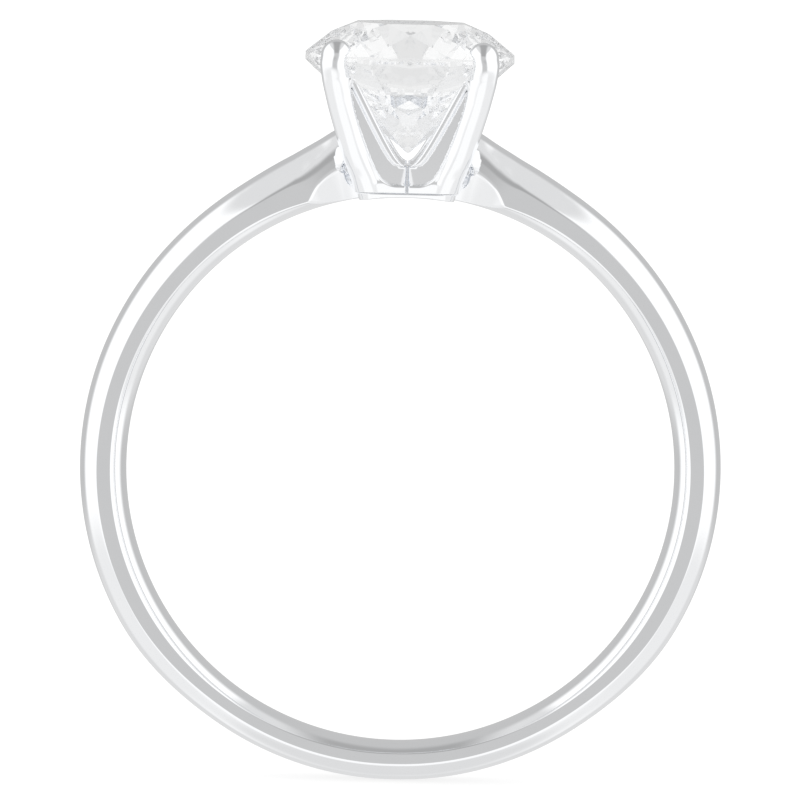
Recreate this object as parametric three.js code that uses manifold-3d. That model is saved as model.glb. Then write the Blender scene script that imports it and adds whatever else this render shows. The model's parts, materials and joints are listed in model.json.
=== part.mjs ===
// A solitaire engagement ring: a comfort-fit hoop, two rising shoulders, and an open head of four claws
// on a base collar that holds a round brilliant-cut diamond.
// Millimetres. The origin is the centre of the finger hole, +Y runs along the finger, +Z points to the stone.
import * as THREE from 'three';
import { ConvexGeometry } from 'three/addons/geometries/ConvexGeometry.js';
import { mergeVertices } from 'three/addons/utils/BufferGeometryUtils.js';
import Module from 'manifold-3d';

const wasm = await Module();
wasm.setup();

const EIGHTH_TURN = Math.PI / 4;
const QUARTER_TURN = Math.PI / 2;
const FULL_TURN = 2 * Math.PI;

// Solder joints and the stone's seat are narrow gaps, so that each piece stays a solid of its own.
const jointGap = 0.02;

// Slivers thinner than this, left where a cut crosses an edge, are cleared away.
const finestDetail = 0.004;

// Hoop: the section is a court shape, an inner dome, two flat sides and an outer dome.
const fingerHoleRadius = 8.56;
const shoulderAngle = 42;
const shoulderEndAngle = 7;
const hoopSteps = 56;
const shoulderSteps = 16;
const innerDomeSteps = 5;
const outerDomeSteps = 7;

// The band's section at each angle from the stone, in degrees: the radius on the outer crown, the radius and
// half width of the side's outer edge, and the radius and half width of its inner edge.
const bandStations = [
  { angle: 5, crown: 11.2, outerEdge: 10.6, outerHalf: 0.62, innerEdge: 8.72, innerHalf: 1.42 },
  { angle: 11, crown: 10.76, outerEdge: 10.16, outerHalf: 0.68, innerEdge: 8.76, innerHalf: 1.3 },
  { angle: 15, crown: 10.54, outerEdge: 9.88, outerHalf: 0.76, innerEdge: 8.8, innerHalf: 1.08 },
  { angle: 21, crown: 10.31, outerEdge: 9.62, outerHalf: 0.88, innerEdge: 8.86, innerHalf: 0.97 },
  { angle: 31, crown: 10.14, outerEdge: 9.46, outerHalf: 0.97, innerEdge: 8.93, innerHalf: 0.99 },
  { angle: 45, crown: 10.07, outerEdge: 9.42, outerHalf: 1.0, innerEdge: 8.96, innerHalf: 1.0 },
  { angle: 65, crown: 10.02, outerEdge: 9.44, outerHalf: 1.0, innerEdge: 9.0, innerHalf: 1.0 },
  { angle: 95, crown: 10.01, outerEdge: 9.48, outerHalf: 1.0, innerEdge: 9.02, innerHalf: 1.0 },
  { angle: 120, crown: 10.0, outerEdge: 9.44, outerHalf: 0.98, innerEdge: 9.0, innerHalf: 0.98 },
  { angle: 145, crown: 9.84, outerEdge: 9.28, outerHalf: 0.95, innerEdge: 8.93, innerHalf: 0.95 },
  { angle: 180, crown: 9.79, outerEdge: 9.22, outerHalf: 0.95, innerEdge: 8.86, innerHalf: 0.95 },
];

// Stone: a one-carat round brilliant in Tolkowsky's proportions.
const stoneRadius = 3.25;
const girdleHeight = 12.77;
const girdleThickness = 0.24;
const tableRatio = 0.53;
const crownSlope = Math.tan(THREE.MathUtils.degToRad(34.5));
const pavilionSlope = Math.tan(THREE.MathUtils.degToRad(40.75));
const starLength = 0.5;
const lowerHalfLength = 0.77;
const girdleSides = 64;

// Head: how far each claw's centre line stands from the two middle planes at each height, and its radius.
const clawStations = [
  { height: 8.6, offset: 1.12, radius: 0.47 },
  { height: 9.13, offset: 1.3, radius: 0.46 },
  { height: 9.54, offset: 1.49, radius: 0.44 },
  { height: 9.95, offset: 1.65, radius: 0.43 },
  { height: 10.56, offset: 1.84, radius: 0.42 },
  { height: 11.59, offset: 2.11, radius: 0.41 },
  { height: 12.25, offset: 2.245, radius: 0.43 },
  { height: 12.7, offset: 2.29, radius: 0.45 },
  { height: 13, offset: 2.26, radius: 0.47 },
];
const clawFoot = 8.7;
const clawDomeHeight = 12.98;
const clawSteps = 8;
const clawSides = 12;
const domeSteps = 4;
const domeShare = 0.9;

// Each claw has two wings, plates that reach round the head to a raised lip. The lips of two claws leave a
// slit between them, which opens into a V with a round bottom.
const slitHalf = 0.03;
const openingBottom = 9.56;
const openingSlope = 0.5;
const openingBottomRadius = 0.15;
const wingTop = 12.3;
const wingSteps = 8;
const lipWidth = 0.26;
const lipStand = 0.1;

// Between lip and finger each wing is sunk to a flat panel. Stations give the finger's edge beside it.
const ridgeStations = [
  { height: 8.6, ridge: 0.45 },
  { height: 9.13, ridge: 0.8 },
  { height: 9.54, ridge: 1.04 },
  { height: 9.95, ridge: 1.23 },
  { height: 10.56, ridge: 1.46 },
  { height: 11.59, ridge: 1.755 },
  { height: 11.9, ridge: 1.8 },
  { height: 12.7, ridge: 1.6 },
  { height: 13.5, ridge: 1.5 },
];
const footBandTop = 8.92;
const panelTop = 11.9;
const panelFace = 1.48;
const panelLean = 0.11;
const panelThickness = 0.3;
const footBandStand = 0.12;
const flankShare = 0.5;
const edgeStep = 0.02;

// Base collar: a rounded square flange under the claws, with a round spigot inside their feet.
const flangeHalf = 1.56;
const flangeCornerRadius = 0.5;
const flangeTop = 8.68;
const flangeBottom = 8.1;
const spigotRadius = 0.84;
const culetHoleRadius = 0.55;
const spigotTop = 9.5;
const collarSides = 32;
const fingerHoleSides = 180;

const whiteGold = new THREE.MeshStandardMaterial({ color: 0xe2e4e8, roughness: 0.08, metalness: 1 });
const diamondGlass = new THREE.MeshStandardMaterial({ color: 0xf2f6fa, roughness: 0, metalness: 0 });

// Reads a smooth curve through a list of stations, keyed by one of their fields.
function stationReader(stations, key) {
  const fields = Object.keys(stations[0]).filter((field) => field !== key);
  const keys = stations.map((station) => station[key]);
  const values = stations.flatMap((station) => fields.map((field) => station[field]));
  const curve = new THREE.CubicInterpolant(keys, values, fields.length);
  return (at) => {
    const found = curve.evaluate(at);
    return Object.fromEntries(fields.map((field, i) => [field, found[i]]));
  };
}

const bandAt = stationReader(bandStations, 'angle');
const clawAt = stationReader(clawStations, 'height');
const ridgeAt = stationReader(ridgeStations, 'height');

function spread(from, to, steps) {
  return Array.from({ length: steps + 1 }, (_, i) => THREE.MathUtils.lerp(from, to, i / steps));
}

function centroid(points) {
  return points.reduce((sum, point) => sum.add(point), new THREE.Vector3()).divideScalar(points.length);
}

function geometryFrom(points, faces) {
  const geometry = new THREE.BufferGeometry();
  geometry.setAttribute('position', new THREE.Float32BufferAttribute(points, 3));
  geometry.setIndex(faces);
  return geometry;
}

// Joins rings of points into one closed solid, with a fan over each end.
function loft(rings) {
  const size = rings[0].length;
  const last = (rings.length - 1) * size;
  const points = rings.flat();
  const start = points.push(centroid(rings[0])) - 1;
  const end = points.push(centroid(rings.at(-1))) - 1;
  const faces = [];
  for (let i = 0; i < size; i += 1) {
    const next = (i + 1) % size;
    for (let ring = 0; ring < last; ring += size) {
      faces.push(ring + i, ring + next, ring + next + size);
      faces.push(ring + i, ring + next + size, ring + i + size);
    }
    faces.push(start, next, i);
    faces.push(end, last + i, last + next);
  }
  return geometryFrom(points.flatMap((point) => point.toArray()), faces);
}

function toSolid(geometry) {
  const bare = geometry.clone();
  bare.deleteAttribute('normal');
  bare.deleteAttribute('uv');
  const merged = mergeVertices(bare);
  return new wasm.Manifold(new wasm.Mesh({
    numProp: 3,
    vertProperties: Float32Array.from(merged.attributes.position.array),
    triVerts: Uint32Array.from(merged.index.array),
  }));
}

function toGeometry(solid) {
  const mesh = solid.simplify(finestDetail).getMesh();
  return geometryFrom(Array.from(mesh.vertProperties), Array.from(mesh.triVerts));
}

// The arc between two points of a section that bulges outwards to the crown radius in its middle.
function domeArc(half, edge, crown, steps) {
  const rise = crown - edge;
  const radius = (half * half + rise * rise) / (2 * rise);
  const reach = 2 * Math.atan(rise / half);
  return spread(-reach, reach, steps).map((turn) => ({
    along: radius * Math.sin(turn),
    radial: crown - radius * (1 - Math.cos(turn)),
  }));
}

function bandSection(angle) {
  const { crown, outerEdge, outerHalf, innerEdge, innerHalf } = bandAt(Math.abs(angle));
  const outer = domeArc(outerHalf, outerEdge, crown, outerDomeSteps);
  const inner = domeArc(innerHalf, innerEdge, fingerHoleRadius, innerDomeSteps);
  return [...inner, ...outer.reverse()];
}

// A stretch of the band between two angles from the stone, positive towards +X.
function bandStretch(from, to, steps) {
  const rings = spread(from, to, steps).map((angle) => {
    const turn = THREE.MathUtils.degToRad(angle);
    const station = angle > 180 ? 360 - angle : angle;
    return bandSection(station).map(({ along, radial }) => (
      new THREE.Vector3(radial * Math.sin(turn), along, radial * Math.cos(turn))
    ));
  });
  return loft(rings);
}

// The corner points of a round brilliant. Its eight main facets are turned half a facet from the X axis.
function brilliantGeometry() {
  const halfTurn = EIGHTH_TURN / 2;
  const quarterCos = Math.cos(halfTurn / 2);
  const crownBase = girdleHeight + girdleThickness / 2;
  const pavilionBase = girdleHeight - girdleThickness / 2;
  const tableRadius = stoneRadius * tableRatio;
  const tableFlat = tableRadius * Math.cos(halfTurn);
  const starRadius = THREE.MathUtils.lerp(tableFlat, stoneRadius, starLength);
  const lowerRadius = stoneRadius * (1 - lowerHalfLength);
  const crownHeightAt = (radius, off) => crownBase + crownSlope * (stoneRadius - radius * Math.cos(off));
  const pavilionHeightAt = (radius, off) => pavilionBase - pavilionSlope * (stoneRadius - radius * Math.cos(off));
  const starHeight = crownHeightAt(starRadius, halfTurn);
  const lowerHeight = pavilionHeightAt(lowerRadius, halfTurn);
  const upperHalfSlope = (starHeight - crownBase) / ((stoneRadius - starRadius) * quarterCos);
  const lowerHalfSlope = (pavilionBase - lowerHeight) / ((stoneRadius - lowerRadius) * quarterCos);
  const points = [new THREE.Vector3(0, 0, pavilionHeightAt(0, 0))];
  const addPoint = (radius, turn, height) => {
    points.push(new THREE.Vector3(radius * Math.cos(turn), radius * Math.sin(turn), height));
  };
  for (let facet = 0; facet < 8; facet += 1) {
    const starTurn = facet * EIGHTH_TURN;
    addPoint(tableRadius, starTurn + halfTurn, crownHeightAt(tableRadius, 0));
    addPoint(starRadius, starTurn, starHeight);
    addPoint(lowerRadius, starTurn, lowerHeight);
  }
  // The girdle's edges dip and rise where the sixteen half facets on each side cut the round rim.
  for (let side = 0; side < girdleSides; side += 1) {
    const turn = (side / girdleSides) * FULL_TURN;
    const fromHalf = (turn % halfTurn) - halfTurn / 2;
    const scallop = stoneRadius * (Math.cos(fromHalf) - quarterCos);
    addPoint(stoneRadius, turn, crownBase - upperHalfSlope * scallop);
    addPoint(stoneRadius, turn, pavilionBase + lowerHalfSlope * scallop);
  }
  return new ConvexGeometry(points);
}

// The stone a little larger on every side, to cut its seat in the claws.
function seatCutter() {
  const larger = 1 + jointGap / stoneRadius;
  const cutter = brilliantGeometry();
  cutter.translate(0, 0, -girdleHeight);
  cutter.scale(larger, larger, larger * larger);
  cutter.translate(0, 0, girdleHeight);
  return toSolid(cutter);
}

// A claw's round finger, standing in the corner between +X and +Y, with a domed tip. Its two inner sides are
// flat where the panels meet it.
function clawFinger(grow) {
  const ringAt = (height, offset, radius) => {
    const flat = ridgeAt(height).ridge - grow;
    return spread(0, FULL_TURN * (1 - 1 / clawSides), clawSides - 1).map((turn) => new THREE.Vector3(
      Math.max(offset + radius * Math.cos(turn), flat),
      Math.max(offset + radius * Math.sin(turn), flat),
      height,
    ));
  };
  const shaft = spread(clawFoot - grow, clawDomeHeight, clawSteps).map((height) => {
    const { offset, radius } = clawAt(height);
    return ringAt(height, offset, radius + grow);
  });
  const { offset, radius } = clawAt(clawDomeHeight);
  const domeTurns = spread(0, QUARTER_TURN * domeShare, domeSteps).slice(1);
  const dome = domeTurns.map((turn) => ringAt(
    clawDomeHeight + (radius + grow) * Math.sin(turn),
    offset,
    (radius + grow) * Math.cos(turn),
  ));
  return loft([...shaft, ...dome]);
}

// Half the opening between two claws.
function openingAt(height) {
  const rise = Math.max(height - openingBottom, 0);
  return slitHalf + Math.sqrt((openingSlope * rise) ** 2 + 2 * openingBottomRadius * rise);
}

// How far a wing's three fronts stand out at a height: beside the finger, on the panel, and on the lip.
function wingFronts(height) {
  const { offset, radius } = clawAt(height);
  const panel = panelFace + panelLean * (height - footBandTop);
  const flank = Math.max(offset + flankShare * radius, panel + footBandStand);
  const lip = offset + lipStand;
  if (height <= footBandTop) {
    return { flank, panel: flank - edgeStep, lip: flank - 2 * edgeStep, back: panel - panelThickness };
  }
  if (height <= openingBottom) {
    return { flank, panel, lip: panel + edgeStep, back: panel - panelThickness };
  }
  return { flank, panel: height > panelTop ? lip - edgeStep : panel, lip, back: panel - panelThickness };
}

// One wing of that claw, on the head's +Y face, from the finger to the lip beside the opening.
function clawWing(grow) {
  const heights = [
    clawFoot - grow,
    footBandTop,
    footBandTop + edgeStep,
    openingBottom,
    ...spread(openingBottom + edgeStep, panelTop, wingSteps),
    panelTop + edgeStep,
    wingTop + grow,
  ];
  const rings = heights.map((height) => {
    const { flank, panel, lip, back } = wingFronts(height);
    const { offset } = clawAt(height);
    const edge = openingAt(height) - grow;
    const lipEdge = edge + lipWidth + 2 * grow;
    const ridge = Math.max(ridgeAt(height).ridge - grow, lipEdge + edgeStep);
    const outline = [
      [offset, back - grow],
      [offset, flank + grow],
      [ridge, flank + grow],
      [ridge, panel + grow],
      [lipEdge, panel + grow],
      [lipEdge, lip + grow],
      [edge, lip + grow],
      [edge, back - grow],
    ];
    return outline.map(([x, y]) => new THREE.Vector3(x, y, height));
  });
  return loft(rings);
}

// Both wings and the finger as one solid; the second wing mirrors the first across the corner's diagonal.
function clawBody(grow) {
  const wing = toSolid(clawWing(grow));
  const across = wing.transform([0, 1, 0, 0, 1, 0, 0, 0, 0, 0, 1, 0, 0, 0, 0, 1]);
  return toSolid(clawFinger(grow)).add(wing).add(across);
}

function roundedSquare(half, corner) {
  const shape = new THREE.Shape();
  const straight = half - corner;
  shape.absarc(straight, straight, corner, 0, QUARTER_TURN);
  shape.absarc(-straight, straight, corner, QUARTER_TURN, 2 * QUARTER_TURN);
  shape.absarc(-straight, -straight, corner, 2 * QUARTER_TURN, 3 * QUARTER_TURN);
  shape.absarc(straight, -straight, corner, 3 * QUARTER_TURN, 4 * QUARTER_TURN);
  return shape;
}

function fingerHoleSolid() {
  const fingerLength = 8;
  return toSolid(new THREE.CylinderGeometry(
    fingerHoleRadius,
    fingerHoleRadius,
    fingerLength,
    fingerHoleSides,
  ));
}

// The collar that the claws stand on, filed to the finger hole below and open under the culet.
function collarSolid(grow) {
  const flangeShape = roundedSquare(flangeHalf + grow, flangeCornerRadius + grow);
  const flange = new THREE.ExtrudeGeometry(flangeShape, {
    depth: flangeTop + grow - flangeBottom,
    bevelEnabled: false,
    curveSegments: 5,
  });
  flange.translate(0, 0, flangeBottom);
  const spigot = new THREE.CylinderGeometry(spigotRadius, spigotRadius, spigotTop - flangeBottom, collarSides);
  const hole = new THREE.CylinderGeometry(culetHoleRadius, culetHoleRadius, 2 * spigotTop, collarSides);
  spigot.rotateX(QUARTER_TURN);
  hole.rotateX(QUARTER_TURN);
  spigot.translate(0, 0, (spigotTop + flangeBottom) / 2);
  return toSolid(flange).add(toSolid(spigot)).subtract(toSolid(hole)).subtract(fingerHoleSolid());
}

// The space inside the head's four faces, which the shoulders stop short of.
function headSpace() {
  const rings = spread(flangeBottom - jointGap, clawDomeHeight, clawSteps).map((height) => {
    const { offset, radius } = clawAt(Math.max(height, clawStations[0].height));
    const half = offset + flankShare * radius + 2 * jointGap;
    return [[half, half], [-half, half], [-half, -half], [half, -half]]
      .map(([x, y]) => new THREE.Vector3(x, y, height));
  });
  return toSolid(loft(rings));
}

// A shoulder ends against the head, so the head's outer shape is cut from it.
function shoulderSolid(side) {
  const stretch = side > 0
    ? bandStretch(shoulderEndAngle, shoulderAngle, shoulderSteps)
    : bandStretch(-shoulderAngle, -shoulderEndAngle, shoulderSteps);
  const roomyClaw = clawBody(jointGap);
  let shoulder = toSolid(stretch).subtract(headSpace()).subtract(collarSolid(jointGap));
  for (const turn of [0, 90, 180, 270]) {
    shoulder = shoulder.subtract(roomyClaw.rotate([0, 0, turn]));
  }
  return shoulder;
}

function part(name, geometry, material) {
  const mesh = new THREE.Mesh(geometry, material);
  mesh.name = name;
  return mesh;
}

function shank() {
  const jointAngle = THREE.MathUtils.radToDeg(jointGap / fingerHoleRadius);
  const start = shoulderAngle + jointAngle;
  return part('shank', bandStretch(start, 360 - start, hoopSteps), whiteGold);
}

function shoulders() {
  return [
    part('shoulder_left', toGeometry(shoulderSolid(-1)), whiteGold),
    part('shoulder_right', toGeometry(shoulderSolid(1)), whiteGold),
  ];
}

// Four equal claws, turned a quarter about the head's axis from one to the next.
function claws() {
  const names = ['claw_back_right', 'claw_back_left', 'claw_front_left', 'claw_front_right'];
  const shape = toGeometry(clawBody(0).subtract(seatCutter()));
  return names.map((name, i) => {
    const claw = part(name, shape, whiteGold);
    claw.rotation.z = i * QUARTER_TURN;
    return claw;
  });
}

const ring = new THREE.Group();
ring.add(shank(), ...shoulders(), part('head_base', toGeometry(collarSolid(0)), whiteGold), ...claws());
ring.add(part('diamond', brilliantGeometry(), diamondGlass));

export default ring;
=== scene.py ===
"""The looks of a four-claw solitaire ring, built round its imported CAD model.

Lengths in this file are millimetres until a mesh is made, when MM turns them into Blender's metres.
"""
import json
import math

import bmesh
import bpy
import numpy as np
from mathutils import Matrix, Vector


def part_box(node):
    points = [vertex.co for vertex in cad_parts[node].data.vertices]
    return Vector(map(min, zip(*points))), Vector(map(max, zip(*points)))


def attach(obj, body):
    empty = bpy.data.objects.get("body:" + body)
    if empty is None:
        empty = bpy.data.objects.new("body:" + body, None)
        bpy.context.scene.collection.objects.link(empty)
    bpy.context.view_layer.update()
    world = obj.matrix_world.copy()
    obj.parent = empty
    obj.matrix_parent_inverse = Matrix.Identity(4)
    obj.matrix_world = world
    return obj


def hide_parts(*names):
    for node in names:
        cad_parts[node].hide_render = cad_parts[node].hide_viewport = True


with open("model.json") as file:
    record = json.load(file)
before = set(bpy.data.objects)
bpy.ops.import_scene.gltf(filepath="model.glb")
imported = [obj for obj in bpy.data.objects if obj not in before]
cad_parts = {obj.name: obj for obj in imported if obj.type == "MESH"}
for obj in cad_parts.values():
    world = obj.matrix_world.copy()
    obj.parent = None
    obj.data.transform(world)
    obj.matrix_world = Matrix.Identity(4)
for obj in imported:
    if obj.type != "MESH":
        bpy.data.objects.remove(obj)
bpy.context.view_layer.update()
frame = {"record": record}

MM = 0.001
EIGHTH_TURN = math.pi / 4


def node_box(name):
    """Lowest and highest corner of a CAD node, in millimetres."""
    low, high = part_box(name)
    return np.array(low) / MM, np.array(high) / MM


def mount(name):
    return next(m for m in frame["record"]["mounts"] if m["name"] == name)


# Driving dimensions, read from the frame.
HOLE_RADIUS = mount("finger")["dims"]["r_mm"]
STONE_LOW, STONE_HIGH = node_box("diamond")
STONE_RADIUS = STONE_HIGH[0]
TABLE_HEIGHT = STONE_HIGH[2]
CULET_HEIGHT = STONE_LOW[2]
CLAW_LOW, CLAW_HIGH = node_box("claw_back_right")
CLAW_FOOT = CLAW_LOW[2]
CLAW_TOP = CLAW_HIGH[2]
COLLAR_LOW, COLLAR_HIGH = node_box("head_base")
COLLAR_HALF = COLLAR_HIGH[0]
SHANK_LOW, _ = node_box("shank")
RING_BOTTOM = SHANK_LOW[2]

# The band's section at each angle from the stone, in degrees: the radius on the outer crown, the radius and
# half width of the side's outer edge, and the radius and half width of its inner edge.
BAND_STATIONS = np.array([
    [5, 11.3, 10.8, 0.6, 8.64, 0.9],
    [11, 10.87, 10.38, 0.68, 8.68, 0.96],
    [13, 10.74, 10.2, 0.73, 8.72, 0.98],
    [15, 10.61, 10.03, 0.78, 8.76, 0.98],
    [17, 10.51, 9.86, 0.83, 8.8, 0.98],
    [21, 10.36, 9.62, 0.9, 8.86, 0.97],
    [31, 10.165, 9.46, 0.98, 8.93, 0.99],
    [45, 10.07, 9.42, 1.0, 8.96, 1.0],
    [65, 10.02, 9.44, 1.0, 9.0, 1.0],
    [95, 10.01, 9.48, 1.0, 9.02, 1.0],
    [120, 10.0, 9.44, 0.98, 9.0, 0.98],
    [145, 9.84, 9.28, 0.95, 8.93, 0.95],
    [180, 9.79, 9.22, 0.95, 8.86, 0.95],
])
# The crisp line on each side, under which the side turns in towards the finger: its radius at each angle.
CHEEK_STATIONS = np.array([
    [5, 9.95],
    [13, 9.6],
    [17, 9.3],
    [22, 8.72],
    [180, 8.72],
])
CHEEK_LEAN = 0.36
# From round to roof-shaped: how flat the cap and the two upper faces are at each angle.
ROOF_STATIONS = np.array([
    [5, 0.9],
    [20, 0.9],
    [30, 0.5],
    [42, 0.0],
    [180, 0.0],
])
CAP_HALF = 0.46
CAP_SLOPE = 0.51
CAP_ROUND = 0.08
CROWN_FLAT = 0.01
CROWN_ROUND = 0.04
# How round the band's edges are at each angle: those of the upper faces, and the others.
EDGE_STATIONS = np.array([
    [5, 0.14, 0.05],
    [17, 0.12, 0.05],
    [23, 0.05, 0.05],
    [32, 0.04, 0.05],
    [55, 0.025, 0.025],
    [180, 0.025, 0.025],
])
SHOULDER_ANGLE = 42.0
JOINT_LAP = 0.4
JOINT_INSET = 0.002

# Each claw's centre line and radius: height, distance from the two middle planes, radius.
CLAW_STATIONS = np.array([
    [8.6, 1.12, 0.47],
    [9.13, 1.3, 0.46],
    [9.54, 1.49, 0.44],
    [9.95, 1.65, 0.43],
    [10.56, 1.84, 0.42],
    [11.59, 2.14, 0.41],
    [12.25, 2.27, 0.43],
    [12.7, 2.31, 0.455],
    [12.98, 2.26, 0.48],
])
# The crisp edge between each finger and its recessed panels: height, distance from the middle plane, and how
# far the finger's flat side stands in front of the finger's centre line.
RIDGE_STATIONS = np.array([
    [8.6, 0.45, 0.4],
    [8.95, 0.66, 0.38],
    [9.13, 0.8, 0.34],
    [9.54, 1.04, 0.28],
    [9.95, 1.23, 0.26],
    [10.56, 1.46, 0.25],
    [11.59, 1.755, 0.25],
    [11.9, 1.8, 0.25],
    [12.7, 1.6, 0.25],
    [13.5, 1.5, 0.25],
])
# Where a shoulder meets a claw: height, how far a leaf-shaped web reaches from the claw, width of the gap.
WEB_STATIONS = np.array([
    [8.55, 0.0, 0.01],
    [8.67, 0.0, 0.05],
    [8.78, 0.0, 0.12],
    [8.97, 0.0, 0.24],
    [9.12, 0.12, 0.29],
    [9.28, 0.34, 0.29],
    [9.44, 0.43, 0.22],
    [9.59, 0.44, 0.1],
    [9.78, 0.4, 0.005],
    [9.97, 0.32, 0.005],
    [10.28, 0.11, 0.005],
    [10.45, 0.0, 0.005],
    [11.5, 0.0, 0.005],
])
WEB_EDGE_DEPTH = 1.05
WEB_SLOPE = 0.8
WEB_EDGE_ROUND = 0.03
WEB_JOIN_ROUND = 0.04
GAP_FLOOR = 0.6
GAP_LEAN = 0.35
GAP_ROUND = 0.02
SHOULDER_TOP = 10.9
SHOULDER_INSET = 0.02
CLAW_CLEARANCE = 0.005
# The claws' wings: recessed panels, raised lips along the V-shaped opening, and a band along the foot.
WING_TOP = 12.3
WING_TOP_ROUND = 0.05
WING_END_ROUND = 0.02
WING_BACK_ROUND = 0.04
RIDGE_ROUND = 0.06
FLANK_ROUND = 0.08
PANEL_FACE = 1.48
PANEL_LEAN = 0.11
PANEL_THICKNESS = 0.3
PANEL_ROUND = 0.06
PANEL_JOIN_ROUND = 0.01
LIP_STAND = 0.14
LIP_WIDTH = 0.25
LIP_ROUND = 0.09
LIP_LAP = 0.04
LIP_END_ROUND = 0.1
LIP_JOIN_ROUND = 0.04
SLIT_HALF = 0.03
SLIT_ROUND = 0.2
OPENING_BOTTOM = 9.56
OPENING_SLOPE = 0.5
OPENING_BOTTOM_RADIUS = 0.15
OPENING_ROUND = 0.05
FOOT_BAND_TOP = 8.95
FOOT_BAND_ROUND = 0.35
FOOT_ROUND = 0.02
WING_JOIN_ROUND = 0.06
SEAT_ROUND = 0.02
# The collar: a flange that narrows downwards, a spigot inside the claws, and a hole under the stone's point.
COLLAR_LEAN = 0.36
COLLAR_CORNER = 0.5
COLLAR_JOINT = 0.01
COLLAR_HOLE_RADIUS = 0.55
COLLAR_ROUND = 0.05
COLLAR_TOP_ROUND = 0.04
COLLAR_HOLE_ROUND = 0.06
SPIGOT_RADIUS = 0.84
# Where a piece runs into the finger hole.
SHOULDER_BORE_ROUND = 0.02
COLLAR_BORE_ROUND = 0.03

# The stone's proportions: a round brilliant with a low crown.
GIRDLE_THICKNESS = 0.27
TABLE_RATIO = 0.55
CROWN_HEIGHT = 0.95
CROWN_SLOPE = CROWN_HEIGHT / (STONE_RADIUS * (1 - TABLE_RATIO))
PAVILION_SLOPE = (TABLE_HEIGHT - CROWN_HEIGHT - GIRDLE_THICKNESS - CULET_HEIGHT) / STONE_RADIUS
STAR_LENGTH = 0.5
LOWER_HALF_LENGTH = 0.77
GIRDLE_SIDES = 96
GIRDLE_LAP = 0.01

# How fine the modelled surfaces are.
NET_PITCH = 0.035
NET_MARGIN = 0.1
HOOP_STEPS = 420
SIDE_STEPS = 19
OUTER_STEPS = 41
INNER_STEPS = 31
GRADIENT_STEP = 1e-3
PULL_STEPS = 4
LEAST_SLOPE = 0.05
FLAT_ANGLE = math.radians(0.4)
# The boxes that the right shoulder, and the claw between +X and +Y, are modelled in.
SHOULDER_BOX = (1.0, -2.4, 6.1), (7.0, 2.4, 11.1)
CLAW_REACH = 3.0


def through(stations, at):
    """Values on smooth curves through a table's rows, whose first column is the place of each row."""
    keys = stations[:, 0]
    steps = np.diff(stations[:, 1:], axis=0) / np.diff(keys)[:, None]
    before, after = steps[:-1], steps[1:]
    same_way = before * after > 0
    inner = np.where(same_way, 2 * before * after / np.where(same_way, before + after, 1), 0)
    slopes = np.concatenate([steps[:1], inner, steps[-1:]])
    at = np.clip(at, keys[0], keys[-1])
    row = np.clip(np.searchsorted(keys, at) - 1, 0, len(keys) - 2)
    span = keys[row + 1] - keys[row]
    t = ((at - keys[row]) / span)[..., None]
    span = span[..., None]
    values = (
        (1 + 2 * t) * (1 - t) ** 2 * stations[row, 1:]
        + t * (1 - t) ** 2 * span * slopes[row]
        + t * t * (3 - 2 * t) * stations[row + 1, 1:]
        + t * t * (t - 1) * span * slopes[row + 1]
    )
    return np.moveaxis(values, -1, 0)


# ---------------------------------------------------------------- fields: negative inside the metal

def smooth_max(a, b, blend):
    mix = np.clip(0.5 + 0.5 * (a - b) / blend, 0, 1)
    return b + (a - b) * mix + blend * mix * (1 - mix)


def smooth_min(a, b, blend):
    return -smooth_max(-a, -b, blend)


def rounded_box(across, up, half_across, half_up, rounding):
    """Distance to a rectangle with round corners."""
    out_a = np.abs(across) - half_across + rounding
    out_b = np.abs(up) - half_up + rounding
    outside = np.hypot(np.maximum(out_a, 0), np.maximum(out_b, 0))
    return outside + np.minimum(np.maximum(out_a, out_b), 0) - rounding


def stone_field(points):
    """The round cone shape that the brilliant fits in, which seats are cut with."""
    out = np.hypot(points[:, 0], points[:, 1])
    girdle = TABLE_HEIGHT - CROWN_HEIGHT - GIRDLE_THICKNESS / 2
    rise = points[:, 2] - girdle
    past_girdle = out - STONE_RADIUS
    crown = (rise - GIRDLE_THICKNESS / 2 + CROWN_SLOPE * past_girdle) / math.hypot(1, CROWN_SLOPE)
    pavilion = (-rise - GIRDLE_THICKNESS / 2 + PAVILION_SLOPE * past_girdle) / math.hypot(1, PAVILION_SLOPE)
    return np.maximum(np.maximum(crown, pavilion), past_girdle)


def opening_at(height):
    """Half width of the gap between two claws: a thin slit, then a V with a round bottom."""
    rise = np.maximum(height - OPENING_BOTTOM, 0)
    return SLIT_HALF + np.sqrt((OPENING_SLOPE * rise) ** 2 + 2 * OPENING_BOTTOM_RADIUS * rise)


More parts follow.
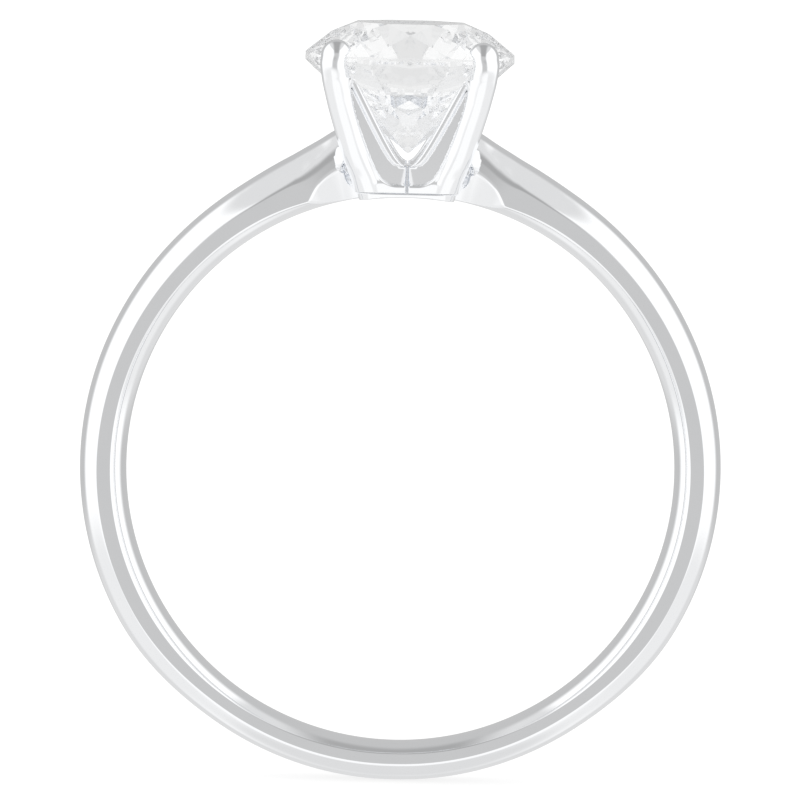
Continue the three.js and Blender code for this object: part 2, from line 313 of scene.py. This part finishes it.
def claw_field(points):
    """A claw in the corner between +X and +Y: a domed finger, two recessed panels, and their raised rims."""
    height = points[:, 2]
    along = np.minimum(points[:, 0], points[:, 1])
    depth = np.maximum(points[:, 0], points[:, 1])
    centre, radius = through(CLAW_STATIONS, height)
    above = np.maximum(height - CLAW_STATIONS[-1, 0], 0)
    finger = np.sqrt((along - centre) ** 2 + (depth - centre) ** 2 + above ** 2) - radius

    ridge, flank_stand = through(RIDGE_STATIONS, height)
    finger = smooth_max(finger, ridge - along, RIDGE_ROUND)

    face = PANEL_FACE + PANEL_LEAN * (height - FOOT_BAND_TOP)
    back = face - PANEL_THICKNESS
    opening = opening_at(height)
    slope = np.sqrt(1 + OPENING_SLOPE ** 2)
    from_opening = (along - opening) / np.where(height > OPENING_BOTTOM, slope, 1)
    below_slit_top = np.clip((OPENING_BOTTOM - height) / (OPENING_BOTTOM - CLAW_FOOT), 0, 1)

    panel = smooth_max(depth - face, -from_opening, PANEL_ROUND + SLIT_ROUND * below_slit_top)
    flank = smooth_min(ridge - along, height - FOOT_BAND_TOP, FOOT_BAND_ROUND)
    flank = smooth_max(flank, depth - centre - flank_stand, FLANK_ROUND)
    flank = smooth_max(flank, -from_opening, OPENING_ROUND)
    lip_front = face + LIP_STAND
    lip = rounded_box(from_opening - LIP_WIDTH / 2, depth - (lip_front + back) / 2,
                      LIP_WIDTH / 2, (lip_front - back) / 2, LIP_ROUND)
    lip = smooth_max(lip, OPENING_BOTTOM - height - LIP_LAP, LIP_END_ROUND)
    wings = smooth_min(smooth_min(panel, flank, PANEL_JOIN_ROUND), lip, LIP_JOIN_ROUND)
    wings = smooth_max(wings, back - depth, WING_BACK_ROUND)
    wings = smooth_max(wings, along - centre, WING_END_ROUND)
    wings = smooth_max(wings, height - WING_TOP, WING_TOP_ROUND)

    body = smooth_min(finger, wings, WING_JOIN_ROUND)
    body = smooth_max(body, CLAW_FOOT - height, FOOT_ROUND)
    return smooth_max(body, -stone_field(points), SEAT_ROUND)


def band_field(points):
    """The band's own section, swept round the finger hole."""
    angle = np.degrees(np.arctan2(np.abs(points[:, 0]), points[:, 2]))
    radial = np.hypot(points[:, 0], points[:, 2])
    across = np.abs(points[:, 1])
    crown, outer_edge, outer_half, inner_edge, inner_half = through(BAND_STATIONS, angle)
    outer = dome_distance(across, crown - radial, outer_half, crown - outer_edge)
    cap_drop = CAP_SLOPE * CAP_HALF
    cap = (radial - crown + CAP_SLOPE * across) / math.hypot(1, CAP_SLOPE)
    roof_slope = (crown - outer_edge - cap_drop) / (outer_half - CAP_HALF)
    roof = (radial - crown + cap_drop + roof_slope * (across - CAP_HALF)) / np.sqrt(1 + roof_slope ** 2)
    roof = smooth_max(smooth_max(roof, cap, CAP_ROUND), radial - crown + CROWN_FLAT, CROWN_ROUND)
    share, = through(ROOF_STATIONS, angle)
    outer = outer + share * (roof - outer)
    inner = dome_distance(across, radial - HOLE_RADIUS, inner_half, inner_edge - HOLE_RADIUS)
    slope = (outer_half - inner_half) / (outer_edge - inner_edge)
    side = (across - inner_half - slope * (radial - inner_edge)) / np.sqrt(1 + slope ** 2)
    cheek_edge, = through(CHEEK_STATIONS, angle)
    cheek_half = inner_half + slope * (cheek_edge - inner_edge)
    cheek = (across - cheek_half + CHEEK_LEAN * (cheek_edge - radial)) / math.hypot(1, CHEEK_LEAN)
    upper_round, edge_round = through(EDGE_STATIONS, angle)
    side = smooth_max(side, cheek, edge_round)
    return smooth_max(smooth_max(outer, side, upper_round), inner, edge_round)


def dome_distance(across, below, half, rise):
    """Distance to a round dome of that half width and rise; below is measured down from its crown."""
    radius = (half ** 2 + rise ** 2) / (2 * rise)
    return np.hypot(across, below - radius) - radius


def shoulder_field(points):
    """The right shoulder, which ends at its joint with the hoop."""
    angle = np.degrees(np.arctan2(points[:, 0], points[:, 2]))
    radial = np.hypot(points[:, 0], points[:, 2])
    return np.maximum(uncut_shoulder_field(points), np.radians(angle - SHOULDER_ANGLE) * radial)


def uncut_shoulder_field(points):
    """The band with a leaf-shaped web beside each claw, and cut to the claws' shape."""
    folded = np.column_stack([points[:, 0], np.abs(points[:, 1]), points[:, 2]])
    claw = claw_field(folded)
    reach, gap = through(WEB_STATIONS, points[:, 2])
    web_front = WEB_EDGE_DEPTH + WEB_SLOPE * (reach - claw)
    web = smooth_max(claw - reach, (folded[:, 1] - web_front) / math.hypot(1, WEB_SLOPE), WEB_EDGE_ROUND)
    body = smooth_min(band_field(folded), web, WEB_JOIN_ROUND)
    centre, _ = through(CLAW_STATIONS, points[:, 2])
    body = np.maximum(body, centre + SHOULDER_INSET - points[:, 0])
    body = np.maximum(body, points[:, 2] - SHOULDER_TOP)
    bore = HOLE_RADIUS - np.hypot(points[:, 0], points[:, 2])
    body = smooth_max(body, bore, SHOULDER_BORE_ROUND)
    gap_floor = GAP_FLOOR - GAP_LEAN * (points[:, 2] - CLAW_FOOT)
    body = smooth_max(body, np.minimum(gap - claw, folded[:, 1] - gap_floor), GAP_ROUND)
    return np.maximum(body, CLAW_CLEARANCE - claw)


def collar_field(points):
    """The collar under the claws: a rounded square flange with a round spigot, open under the stone."""
    x, y, z = points.T
    flange = rounded_box(x, y, COLLAR_HALF, COLLAR_HALF, COLLAR_CORNER) + COLLAR_LEAN * (CLAW_FOOT - z)
    flange = smooth_max(flange / math.hypot(1, COLLAR_LEAN), z - CLAW_FOOT + COLLAR_JOINT, COLLAR_TOP_ROUND)
    out = np.hypot(x, y)
    spigot = smooth_max(out - SPIGOT_RADIUS, z - COLLAR_HIGH[2], COLLAR_ROUND)
    body = smooth_min(flange, spigot, COLLAR_ROUND)
    body = smooth_max(body, COLLAR_HOLE_RADIUS - out, COLLAR_HOLE_ROUND)
    return smooth_max(body, HOLE_RADIUS - np.hypot(x, z), COLLAR_BORE_ROUND)


# ---------------------------------------------------------------- meshes

def gradient(field, points):
    slopes = []
    for axis in np.eye(3) * GRADIENT_STEP:
        slopes.append((field(points + axis) - field(points - axis)) / (2 * GRADIENT_STEP))
    return np.column_stack(slopes)


CUBE_CORNERS = np.array([[i, j, k] for i in (0, 1) for j in (0, 1) for k in (0, 1)])
CUBE_EDGES = [(a, b) for a in range(8) for b in range(a + 1, 8)
              if np.abs(CUBE_CORNERS[a] - CUBE_CORNERS[b]).sum() == 1]


def surface_net(field, low, high, shading_field=None):
    """Points, quads and normals of the closed surface where a field is zero, inside a box.

    Where a piece is cut at a hidden joint, its normals come from the shading field, which is uncut.
    """
    low, high = np.array(low, float), np.array(high, float)
    counts = np.ceil((high - low) / NET_PITCH).astype(int) + 1
    axes = [low[i] + NET_PITCH * np.arange(counts[i]) for i in range(3)]
    grid = np.stack(np.meshgrid(*axes, indexing="ij"), axis=-1)
    value = field(grid.reshape(-1, 3)).reshape(counts)
    inside = value < 0

    cells = counts - 1
    corner_values = np.stack([
        value[i:i + cells[0], j:j + cells[1], k:k + cells[2]] for i, j, k in CUBE_CORNERS
    ], axis=-1)
    filled = (corner_values < 0).sum(axis=-1)
    crossed = (filled > 0) & (filled < 8)
    at = np.argwhere(crossed)
    corners = corner_values[crossed]
    total = np.zeros((len(at), 3))
    crossings = np.zeros((len(at), 1))
    for a, b in CUBE_EDGES:
        cuts = (corners[:, a] < 0) != (corners[:, b] < 0)
        share = corners[cuts, a] / (corners[cuts, a] - corners[cuts, b])
        total[cuts] += CUBE_CORNERS[a] + share[:, None] * (CUBE_CORNERS[b] - CUBE_CORNERS[a])
        crossings[cuts] += 1
    points = low + NET_PITCH * (at + total / crossings)

    number = np.full(cells, -1)
    number[crossed] = np.arange(len(at))
    quads = []
    for axis in range(3):
        first, second = [(1, 2), (2, 0), (0, 1)][axis]
        before = np.take(inside, range(counts[axis] - 1), axis=axis)
        after = np.take(inside, range(1, counts[axis]), axis=axis)
        for outwards in (True, False):
            spots = np.argwhere(before & ~after if outwards else ~before & after)
            around = []
            for a, b in ((1, 1), (0, 1), (0, 0), (1, 0)):
                cell = spots.copy()
                cell[:, first] -= a
                cell[:, second] -= b
                around.append(number[tuple(cell.T)])
            quad = np.column_stack(around)
            quads.append(quad if outwards else quad[:, ::-1])
    quads = np.concatenate(quads)

    for _ in range(PULL_STEPS):
        slope = gradient(field, points)
        move = field(points) / np.maximum((slope ** 2).sum(axis=1), LEAST_SLOPE)
        points = points - np.clip(move, -NET_PITCH / 2, NET_PITCH / 2)[:, None] * slope
    normals = gradient(shading_field or field, points)
    normals /= np.linalg.norm(normals, axis=1)[:, None]
    return points, quads, normals


def add_mesh(name, points, faces, normals=None):
    """A smooth-shaded object from points in millimetres."""
    mesh = bpy.data.meshes.new(name)
    mesh.from_pydata((np.array(points) * MM).tolist(), [], [list(map(int, face)) for face in faces])
    mesh.validate()
    mesh.shade_smooth()
    if normals is not None:
        mesh.normals_split_custom_set_from_vertices(normals.tolist())
    piece = bpy.data.objects.new(name, mesh)
    bpy.context.scene.collection.objects.link(piece)
    return piece


def finish_piece(piece, node, material):
    piece.data.materials.append(material)
    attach(piece, "root")
    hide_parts(node)


# ---------------------------------------------------------------- materials

# Sizes of the patterns, as repeats in a metre, and depth of the wheel marks in metres.
CLOUD_SCALE = 600.0
MARK_SCALE = 9000.0
MARK_DEPTH = 2e-6
MARK_STRENGTH = 0.04
GOLD_DARK = (0.91, 0.92, 0.935, 1)
GOLD_LIGHT = (0.95, 0.955, 0.965, 1)
GOLD_ROUGHNESS = (0.03, 0.09)
DIAMOND_TINT = (0.995, 0.998, 1.0, 1)
DIAMOND_IOR = 2.418
GIRDLE_ROUGHNESS = 0.05


def add_node(tree, kind, **settings):
    made = tree.nodes.new(kind)
    for key, value in settings.items():
        setattr(made, key, value)
    return made


def new_material(name):
    material = bpy.data.materials.new(name)
    material.use_nodes = True
    return material, material.node_tree, material.node_tree.nodes["Principled BSDF"]


def white_gold():
    """Rhodium-plated white gold with a high polish: hairline wheel marks and a faint cloudiness."""
    material, tree, shader = new_material("white_gold")
    shader.inputs["Metallic"].default_value = 1.0
    place = add_node(tree, "ShaderNodeTexCoord")
    cloud = add_node(tree, "ShaderNodeTexNoise")
    cloud.inputs["Scale"].default_value = CLOUD_SCALE
    cloud.inputs["Detail"].default_value = 4.0
    tree.links.new(place.outputs["Object"], cloud.inputs["Vector"])
    colour = add_node(tree, "ShaderNodeValToRGB")
    colour.color_ramp.elements[0].color = GOLD_DARK
    colour.color_ramp.elements[1].color = GOLD_LIGHT
    tree.links.new(cloud.outputs["Fac"], colour.inputs["Fac"])
    tree.links.new(colour.outputs["Color"], shader.inputs["Base Color"])
    rough = add_node(tree, "ShaderNodeMapRange")
    rough.inputs["To Min"].default_value = GOLD_ROUGHNESS[0]
    rough.inputs["To Max"].default_value = GOLD_ROUGHNESS[1]
    tree.links.new(cloud.outputs["Fac"], rough.inputs["Value"])
    tree.links.new(rough.outputs["Result"], shader.inputs["Roughness"])
    marks = add_node(tree, "ShaderNodeTexNoise")
    marks.inputs["Scale"].default_value = MARK_SCALE
    marks.inputs["Detail"].default_value = 3.0
    tree.links.new(place.outputs["Object"], marks.inputs["Vector"])
    bump = add_node(tree, "ShaderNodeBump")
    bump.inputs["Strength"].default_value = MARK_STRENGTH
    bump.inputs["Distance"].default_value = MARK_DEPTH
    tree.links.new(marks.outputs["Fac"], bump.inputs["Height"])
    tree.links.new(bump.outputs["Normal"], shader.inputs["Normal"])
    return material


def diamond_material(girdle_low, girdle_high):
    """Colourless diamond with polished facets and a finely ground girdle."""
    material, tree, shader = new_material("diamond")
    shader.inputs["Transmission Weight"].default_value = 1.0
    shader.inputs["IOR"].default_value = DIAMOND_IOR
    shader.inputs["Base Color"].default_value = DIAMOND_TINT
    place = add_node(tree, "ShaderNodeTexCoord")
    split = add_node(tree, "ShaderNodeSeparateXYZ")
    tree.links.new(place.outputs["Object"], split.inputs["Vector"])
    above = add_node(tree, "ShaderNodeMath", operation="GREATER_THAN")
    above.inputs[1].default_value = girdle_low * MM
    below = add_node(tree, "ShaderNodeMath", operation="LESS_THAN")
    below.inputs[1].default_value = girdle_high * MM
    both = add_node(tree, "ShaderNodeMath", operation="MULTIPLY")
    tree.links.new(split.outputs["Z"], above.inputs[0])
    tree.links.new(split.outputs["Z"], below.inputs[0])
    tree.links.new(above.outputs["Value"], both.inputs[0])
    tree.links.new(below.outputs["Value"], both.inputs[1])
    rough = add_node(tree, "ShaderNodeMapRange")
    rough.inputs["To Min"].default_value = 0.0
    rough.inputs["To Max"].default_value = GIRDLE_ROUGHNESS
    tree.links.new(both.outputs["Value"], rough.inputs["Value"])
    tree.links.new(rough.outputs["Result"], shader.inputs["Roughness"])
    return material


# ---------------------------------------------------------------- pieces

def band_section(angle, inset=0.0):
    """One ring of the hoop's section as across and radial places, with its four edges rounded."""
    crown, outer_edge, outer_half, inner_edge, inner_half = through(BAND_STATIONS, np.array([angle]))[:, 0]

    def dome(half, rise, steps):
        radius = (half * half + rise * rise) / (2 * rise)
        turns = np.sin(np.linspace(-1, 1, steps) * math.pi / 2) * 2 * math.atan(rise / half)
        return radius * np.sin(turns), radius * (1 - np.cos(turns))

    across, drop = dome(outer_half, crown - outer_edge, OUTER_STEPS)
    outer = np.column_stack([across[::-1], crown - drop[::-1]])
    across, drop = dome(inner_half, inner_edge - HOLE_RADIUS, INNER_STEPS)
    inner = np.column_stack([across, HOLE_RADIUS + drop])
    sides = []
    for start, end in ((inner[-1], outer[0]), (outer[-1], inner[0])):
        shares = (1 - np.cos(np.linspace(0, math.pi, SIDE_STEPS))) / 2
        sides.append(start + shares[1:-1, None] * (end - start))
    outline = np.concatenate([inner, sides[0], outer, sides[1]])
    guess = np.column_stack([np.zeros(len(outline)), outline[:, 0], outline[:, 1]])
    turn = math.radians(angle)
    to_ring = np.array([[0, math.sin(turn)], [1, 0], [0, math.cos(turn)]])
    points = guess[:, 1:] @ to_ring.T
    for _ in range(PULL_STEPS):
        slope = gradient(band_field, points)
        points = points - ((band_field(points) + inset) / (slope ** 2).sum(axis=1))[:, None] * slope
    return points


def make_shank(metal):
    """The hoop from shoulder to shoulder.

    Its ends lap a hair under the shoulders, so the joints don't show.
    """
    start, end = SHOULDER_ANGLE, 360 - SHOULDER_ANGLE
    angles = [start - JOINT_LAP, start - JOINT_LAP / 4]
    insets = [JOINT_INSET, JOINT_INSET]
    angles += list(np.linspace(start, end, HOOP_STEPS))
    insets += [0.0] * HOOP_STEPS
    angles += [end + JOINT_LAP / 4, end + JOINT_LAP]
    insets += [JOINT_INSET, JOINT_INSET]
    rings = []
    for angle, inset in zip(angles, insets):
        mirrored = angle > 180
        ring = band_section(360 - angle if mirrored else angle, inset)
        if mirrored:
            ring = ring * [-1, 1, 1]
        rings.append(ring)
    size = len(rings[0])
    points = np.concatenate(rings)
    normals = gradient(band_field, points)
    normals /= np.linalg.norm(normals, axis=1)[:, None]
    faces = []
    for row in range(len(rings) - 1):
        for i in range(size):
            a, b = row * size + i, row * size + (i + 1) % size
            faces.append((a, b, b + size, a + size))
    faces.append(tuple(range(size))[::-1])
    faces.append(tuple(len(points) - size + i for i in range(size)))
    piece = add_mesh("band", points, faces, normals)
    finish_piece(piece, "shank", metal)


def mirrored(points, quads, normals, flips):
    """A copy mirrored in the planes that flips marks with -1, still facing outwards."""
    flips = np.array(flips)
    turned = quads[:, ::-1] if flips.prod() < 0 else quads
    return points * flips, turned, normals * flips


def make_shoulders(metal):
    right = surface_net(shoulder_field, *SHOULDER_BOX, uncut_shoulder_field)
    for side, flips in (("right", (1, 1, 1)), ("left", (-1, 1, 1))):
        piece = add_mesh("tapered_shoulder_" + side, *mirrored(*right, flips))
        finish_piece(piece, "shoulder_" + side, metal)


def make_claws(metal):
    low = (-NET_MARGIN, -NET_MARGIN, CLAW_FOOT - NET_MARGIN)
    high = (CLAW_REACH, CLAW_REACH, CLAW_TOP + NET_MARGIN)
    claw = surface_net(claw_field, low, high)
    places = {
        "back_right": (1, 1, 1),
        "back_left": (-1, 1, 1),
        "front_left": (-1, -1, 1),
        "front_right": (1, -1, 1),
    }
    for place, flips in places.items():
        piece = add_mesh("polished_claw_" + place, *mirrored(*claw, flips))
        finish_piece(piece, "claw_" + place, metal)


def make_collar(metal):
    piece = add_mesh("collar", *surface_net(collar_field, COLLAR_LOW - NET_MARGIN, COLLAR_HIGH + NET_MARGIN))
    finish_piece(piece, "head_base", metal)


def brilliant_points():
    """The corner points of a round brilliant."""
    half_turn = EIGHTH_TURN / 2
    quarter_cos = math.cos(half_turn / 2)
    crown_base = TABLE_HEIGHT - CROWN_HEIGHT
    pavilion_base = crown_base - GIRDLE_THICKNESS
    table_radius = STONE_RADIUS * TABLE_RATIO
    table_flat = table_radius * math.cos(half_turn)
    star_radius = table_flat + STAR_LENGTH * (STONE_RADIUS - table_flat)
    lower_radius = STONE_RADIUS * (1 - LOWER_HALF_LENGTH)
    star_height = crown_base + CROWN_SLOPE * (STONE_RADIUS - star_radius * math.cos(half_turn))
    lower_height = pavilion_base - PAVILION_SLOPE * (STONE_RADIUS - lower_radius * math.cos(half_turn))
    upper_slope = (star_height - crown_base) / ((STONE_RADIUS - star_radius) * quarter_cos)
    lower_slope = (pavilion_base - lower_height) / ((STONE_RADIUS - lower_radius) * quarter_cos)
    points = [(0, 0, pavilion_base - PAVILION_SLOPE * STONE_RADIUS)]

    def add(radius, turn, height):
        points.append((radius * math.cos(turn), radius * math.sin(turn), height))

    for facet in range(8):
        turn = facet * EIGHTH_TURN
        add(table_radius, turn + half_turn, TABLE_HEIGHT)
        add(star_radius, turn, star_height)
        add(lower_radius, turn, lower_height)
    for side in range(GIRDLE_SIDES):
        turn = side / GIRDLE_SIDES * math.tau
        scallop = STONE_RADIUS * (math.cos(turn % half_turn - half_turn / 2) - quarter_cos)
        add(STONE_RADIUS, turn, crown_base - upper_slope * scallop)
        add(STONE_RADIUS, turn, pavilion_base + lower_slope * scallop)
    return points, pavilion_base, crown_base


def make_diamond():
    points, girdle_low, girdle_high = brilliant_points()
    shape = bmesh.new()
    for point in points:
        shape.verts.new(np.array(point))
    bmesh.ops.convex_hull(shape, input=shape.verts)
    bmesh.ops.dissolve_limit(shape, angle_limit=FLAT_ANGLE, verts=shape.verts, edges=shape.edges)
    bmesh.ops.recalc_face_normals(shape, faces=shape.faces)
    bmesh.ops.scale(shape, vec=(MM, MM, MM), verts=shape.verts)
    mesh = bpy.data.meshes.new("brilliant")
    shape.to_mesh(mesh)
    shape.free()
    piece = bpy.data.objects.new("brilliant", mesh)
    bpy.context.scene.collection.objects.link(piece)
    material = diamond_material(girdle_low - GIRDLE_LAP, girdle_high + GIRDLE_LAP)
    finish_piece(piece, "diamond", material)


# ---------------------------------------------------------------- studio

CAMERA_DISTANCE = 245.0
TABLE_ELEVATION = 2.4
CAMERA_ROLL = 1.35
VIEW_CENTRE = (-0.06, 0.0, 2.145)
VIEW_WIDTH = 24.98
SENSOR_WIDTH = 36.0
# The nearest and farthest that the camera sees, in metres.
CLIP_RANGE = 0.01, 20.0

# The studio's light by direction. A LIGHT holds the brightness on each side of a border, and a STEP the two
# places between which it changes. Places are parts of a unit direction: height, sideways or backwards.
PANEL_STEP = -0.4, -0.2
PANEL_LIGHT = 0.9, 1.12
OVERHEAD_STEP = 0.2, 0.32
OVERHEAD_SPREAD = -0.9
OVERHEAD_LIGHT = 0.78
STRIP_LOW_STEP = -0.95, -0.75
STRIP_LOW_LIGHT = 0.77, 1.06
STRIP_MIDDLE_STEP = -0.38, -0.25
STRIP_MIDDLE_LIGHT = 0.61
STRIP_HIGH_STEP = 0.15, 0.4
STRIP_HIGH_LIGHT = 0.42
STRIP_LOW_EDGE = 0.4, 0.6
STRIP_HIGH_EDGE = 0.2, 0.45
REAR_STEP = -0.35, -0.12
REAR_LIGHT = 0.76, 0.57
REAR_EDGE = 0.35, 0.6
# The stone's inside sees the room mixed with this share of plain light.
STONE_FILL = 0.5
STONE_LIGHT = 1.12
BACKDROP_LIGHT = 1.1
LIGHT_BOUNCES = 64

# A round pale floor, its radius in metres, a hair below the ring.
FLOOR_RADIUS = 8.0
FLOOR_SIDES = 64
FLOOR_GAP = 0.01
FLOOR_COLOUR = (0.3, 0.3, 0.3, 1)
FLOOR_ROUGHNESS = 0.9
FLOOR_GLOW = 0.85


def make_camera():
    camera_data = bpy.data.cameras.new("camera")
    camera = bpy.data.objects.new("camera", camera_data)
    bpy.context.scene.collection.objects.link(camera)
    bpy.context.scene.camera = camera
    target = Vector(VIEW_CENTRE)
    height = TABLE_HEIGHT + CAMERA_DISTANCE * math.tan(math.radians(TABLE_ELEVATION))
    back = Vector((0, -CAMERA_DISTANCE, height - target.z)).normalized()
    roll = Matrix.Rotation(math.radians(CAMERA_ROLL), 4, "Z")
    camera.matrix_world = (
        Matrix.Translation((target + back * CAMERA_DISTANCE) * MM)
        @ back.to_track_quat("Z", "Y").to_matrix().to_4x4()
        @ roll
    )
    camera_data.sensor_width = SENSOR_WIDTH
    camera_data.lens = SENSOR_WIDTH * CAMERA_DISTANCE / VIEW_WIDTH
    camera_data.clip_start, camera_data.clip_end = CLIP_RANGE


def smooth_step(tree, value, low, high):
    """0 below low, 1 above high, and smooth between."""
    step = add_node(tree, "ShaderNodeMapRange", interpolation_type="SMOOTHSTEP")
    step.inputs["From Min"].default_value = low
    step.inputs["From Max"].default_value = high
    tree.links.new(value, step.inputs["Value"])
    return step.outputs["Result"]


def blend_values(tree, share, first, second):
    mix = add_node(tree, "ShaderNodeMix", data_type="FLOAT")
    for socket, value in ((mix.inputs["Factor"], share), (mix.inputs[2], first), (mix.inputs[3], second)):
        if isinstance(value, float):
            socket.default_value = value
        else:
            tree.links.new(value, socket)
    return mix.outputs[0]


def make_studio_light():
    """Two big white panels at the sides, a grey strip between them that runs over the ring, and a grey rear.

    The camera sees a white backdrop instead, and the stone's inside sees a mix of the room and plain light.
    """
    world = bpy.data.worlds.new("studio")
    bpy.context.scene.world = world
    world.use_nodes = True
    tree = world.node_tree
    tree.nodes.clear()
    place = add_node(tree, "ShaderNodeTexCoord")
    split = add_node(tree, "ShaderNodeSeparateXYZ")
    tree.links.new(place.outputs["Generated"], split.inputs["Vector"])
    side = add_node(tree, "ShaderNodeMath", operation="ABSOLUTE")
    tree.links.new(split.outputs["X"], side.inputs[0])
    x, y, z = side.outputs["Value"], split.outputs["Y"], split.outputs["Z"]

    panels = blend_values(tree, smooth_step(tree, z, *PANEL_STEP), *PANEL_LIGHT)
    over = add_node(tree, "ShaderNodeMath", operation="MULTIPLY_ADD")
    over.inputs[1].default_value = OVERHEAD_SPREAD
    tree.links.new(x, over.inputs[0])
    tree.links.new(z, over.inputs[2])
    overhead = smooth_step(tree, over.outputs["Value"], *OVERHEAD_STEP)
    panels = blend_values(tree, overhead, panels, OVERHEAD_LIGHT)
    strip = blend_values(tree, smooth_step(tree, z, *STRIP_LOW_STEP), *STRIP_LOW_LIGHT)
    strip = blend_values(tree, smooth_step(tree, z, *STRIP_MIDDLE_STEP), strip, STRIP_MIDDLE_LIGHT)
    strip = blend_values(tree, smooth_step(tree, z, *STRIP_HIGH_STEP), strip, STRIP_HIGH_LIGHT)
    low_share = smooth_step(tree, x, *STRIP_LOW_EDGE)
    high_share = smooth_step(tree, x, *STRIP_HIGH_EDGE)
    share = blend_values(tree, smooth_step(tree, z, *STRIP_MIDDLE_STEP), low_share, high_share)
    room = blend_values(tree, share, strip, panels)
    rear = blend_values(tree, smooth_step(tree, z, *REAR_STEP), *REAR_LIGHT)
    room = blend_values(tree, smooth_step(tree, y, *REAR_EDGE), room, rear)
    seen = add_node(tree, "ShaderNodeLightPath")
    bright = blend_values(tree, seen.outputs["Is Transmission Ray"], room, STONE_LIGHT)
    room = blend_values(tree, STONE_FILL, room, bright)
    shown = blend_values(tree, seen.outputs["Is Camera Ray"], room, BACKDROP_LIGHT)
    background = add_node(tree, "ShaderNodeBackground")
    tree.links.new(shown, background.inputs["Color"])
    output = add_node(tree, "ShaderNodeOutputWorld")
    tree.links.new(background.outputs["Background"], output.inputs["Surface"])


def make_floor():
    material, tree, shader = new_material("floor")
    shader.inputs["Base Color"].default_value = FLOOR_COLOUR
    shader.inputs["Roughness"].default_value = FLOOR_ROUGHNESS
    shader.inputs["Emission Color"].default_value = (1, 1, 1, 1)
    shader.inputs["Emission Strength"].default_value = FLOOR_GLOW
    bpy.ops.mesh.primitive_circle_add(vertices=FLOOR_SIDES, radius=FLOOR_RADIUS, fill_type="NGON")
    floor = bpy.context.object
    floor.name = "floor"
    floor.location.z = (RING_BOTTOM - FLOOR_GAP) * MM
    floor.data.materials.append(material)
    floor.visible_glossy = False
    floor.visible_transmission = False


def set_render():
    scene = bpy.context.scene
    scene.view_settings.view_transform = "Standard"
    scene.view_settings.look = "None"
    scene.cycles.max_bounces = LIGHT_BOUNCES
    scene.cycles.glossy_bounces = LIGHT_BOUNCES
    scene.cycles.transmission_bounces = LIGHT_BOUNCES
    scene.cycles.caustics_reflective = False
    scene.cycles.caustics_refractive = False


make_camera()
make_studio_light()
make_floor()
set_render()
metal = white_gold()
make_shank(metal)
make_shoulders(metal)
make_collar(metal)
make_claws(metal)
make_diamond()
